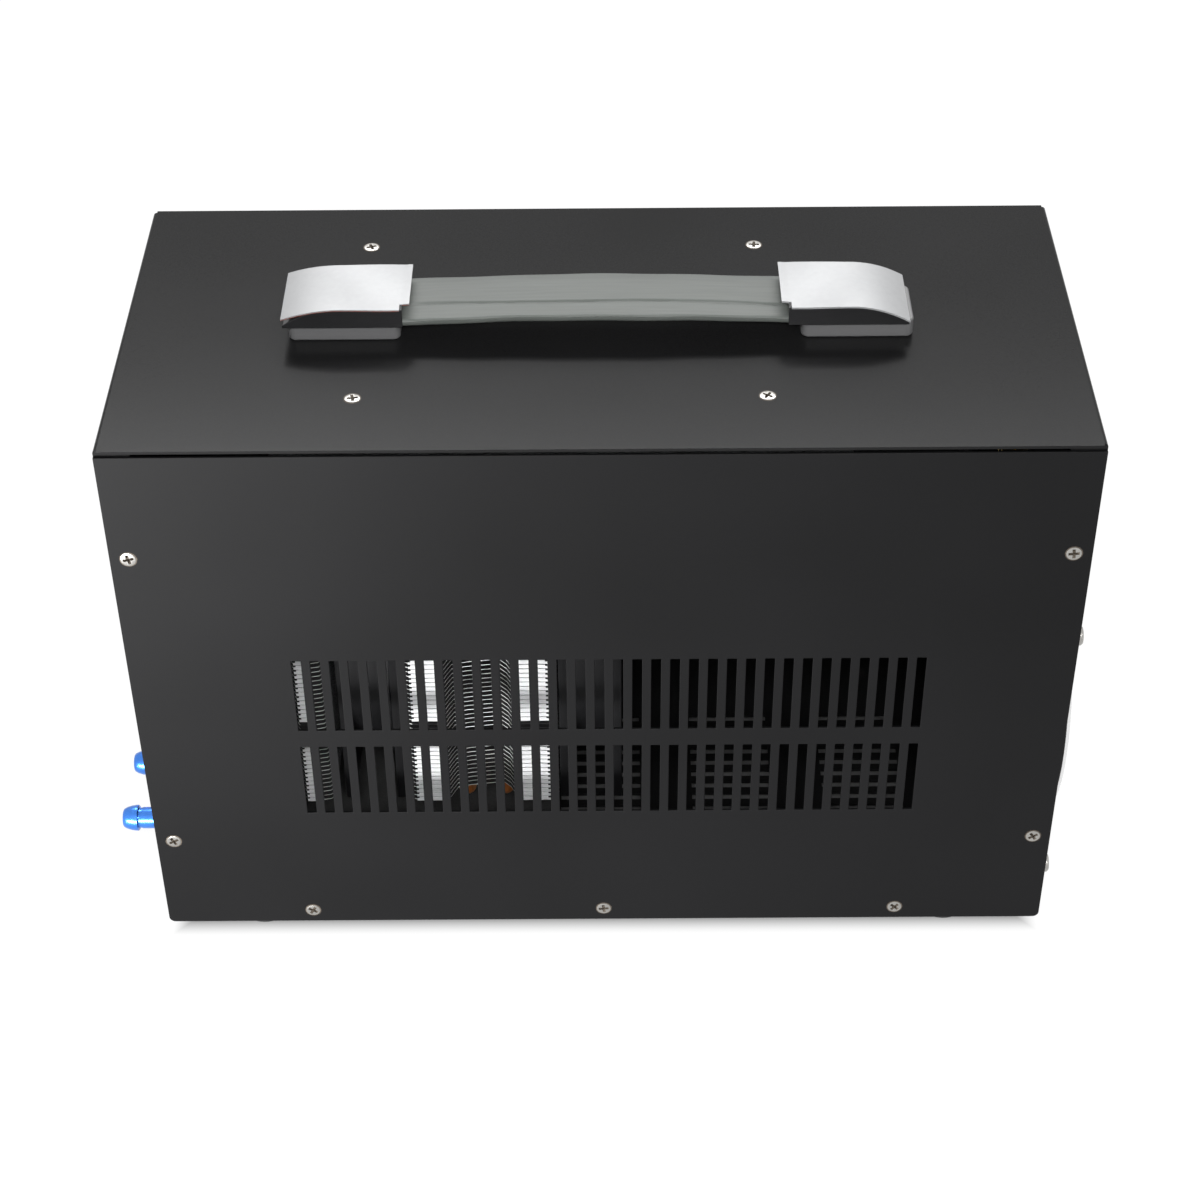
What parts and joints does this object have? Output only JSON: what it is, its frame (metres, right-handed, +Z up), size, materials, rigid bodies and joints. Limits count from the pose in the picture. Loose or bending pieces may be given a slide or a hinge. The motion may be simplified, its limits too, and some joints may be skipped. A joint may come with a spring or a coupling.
{
  "type": "aquarium chiller",
  "caption": "Thermoelectric aquarium chiller: black slotted sheet-metal case with carrying handle, hose spigots, fans, panel thermostat and mains inlet.",
  "frame": {"origin": "on the floor, midway between the four feet", "axes": "+X along the long slotted panel towards the exhaust fan's side, +Y from the slotted panel to the thermostat's panel, +Z up"},
  "size_m": [0.3897, 0.1682, 0.2646],
  "materials": {
    "powder_coat": "satin fine-textured black powder coat",
    "bright_screw": "polished nickel-plated steel",
    "foot_rubber": "matt black rubber",
    "block_plastic": "grey painted, satin",
    "cap_plating": "dark polished plating",
    "film": "bright metallised film",
    "strap_plastic": "grey-green moulded plastic, satin",
    "fan_plastic": "black moulded plastic",
    "wire_plating": "bright plated wire",
    "fin_aluminium": "bright pressed aluminium",
    "pipe_copper": "copper, lightly tarnished",
    "block_aluminium": "machined aluminium",
    "foam": "black closed-cell foam",
    "module_ceramic": "white ceramic",
    "spigot_blue": "blue anodised aluminium",
    "supply_case": "plain sheet aluminium",
    "spacer_nylon": "black nylon",
    "stat_plastic": "black moulded plastic, satin",
    "window_plastic": "dark red display window",
    "button_plastic": "grey moulded plastic",
    "board": "green circuit board",
    "contact_metal": "brass blades"
  },
  "bodies": {
    "case": {"slotted_panel": "powder_coat", "front_panel": "powder_coat", "cover": "powder_coat", "floor_pan": "powder_coat", "slotted_panel_screws": "bright_screw", "front_panel_screws": "bright_screw", "roof_screws": "bright_screw", "foot_left_slotted": "foot_rubber", "foot_right_slotted": "foot_rubber", "foot_left_front": "foot_rubber", "foot_right_front": "foot_rubber", "handle_block_left": "block_plastic", "handle_block_right": "block_plastic", "handle_cap_left": "cap_plating", "handle_cap_right": "cap_plating", "cap_film_left": "film", "cap_film_right": "film", "handle_strap": "strap_plastic", "handle_screws": "bright_screw", "exhaust_fan_frame": "fan_plastic", "finger_guard": "wire_plating", "guard_screws": "bright_screw", "fin_stack_left": "fin_aluminium", "fin_stack_right": "fin_aluminium", "heat_pipes_left": "pipe_copper", "heat_pipes_right": "pipe_copper", "cooler_base_left": "pipe_copper", "cooler_base_right": "pipe_copper", "tower_fan_left_frame": "fan_plastic", "tower_fan_right_frame": "fan_plastic", "insulation_pad": "foam", "insulation_sheet": "foam", "water_block": "block_aluminium", "thermoelectric_module_left": "module_ceramic", "thermoelectric_module_right": "module_ceramic", "hose_spigot_near": "spigot_blue", "hose_spigot_far": "spigot_blue", "power_supply": "supply_case", "supply_spacers": "spacer_nylon", "thermostat_housing": "stat_plastic", "display_window": "window_plastic", "control_board": "board", "rocker_housing": "stat_plastic", "inlet_socket": "stat_plastic", "inlet_contacts": "contact_metal"},
    "exhaust_rotor": {"exhaust_fan_rotor": "fan_plastic"},
    "tower_rotor_left": {"tower_fan_left_rotor": "fan_plastic"},
    "tower_rotor_right": {"tower_fan_right_rotor": "fan_plastic"},
    "set_button": {"button_set": "button_plastic"},
    "down_button": {"button_down": "button_plastic"},
    "up_button": {"button_up": "button_plastic"},
    "rocker": {"rocker_key": "stat_plastic"}
  },
  "joints": [
    {"name": "exhaust_fan_spin", "type": "hinge", "parent": "case", "child": "exhaust_rotor", "pos_m": [0.1663, 0, 0.0817], "axis": [1, 0, 0], "continuous": true},
    {"name": "tower_fan_left_spin", "type": "hinge", "parent": "case", "child": "tower_rotor_left", "pos_m": [-0.09225, 0, 0.117], "axis": [1, 0, 0], "continuous": true},
    {"name": "tower_fan_right_spin", "type": "hinge", "parent": "case", "child": "tower_rotor_right", "pos_m": [-0.00475, 0, 0.117], "axis": [1, 0, 0], "continuous": true},
    {"name": "set_press", "type": "slide", "parent": "case", "child": "set_button", "axis": [0, -1, 0], "range_m": [0, 0.0008], "stiffness_N_per_m": 400, "springref_m": -0.0005},
    {"name": "down_press", "type": "slide", "parent": "case", "child": "down_button", "axis": [0, -1, 0], "range_m": [0, 0.0008], "stiffness_N_per_m": 400, "springref_m": -0.0005},
    {"name": "up_press", "type": "slide", "parent": "case", "child": "up_button", "axis": [0, -1, 0], "range_m": [0, 0.0008], "stiffness_N_per_m": 400, "springref_m": -0.0005},
    {"name": "rocker_tip", "type": "hinge", "parent": "case", "child": "rocker", "pos_m": [0.1775, 0.024, 0.2], "axis": [0, 1, 0], "range_deg": [-16, 0]}
  ]
}
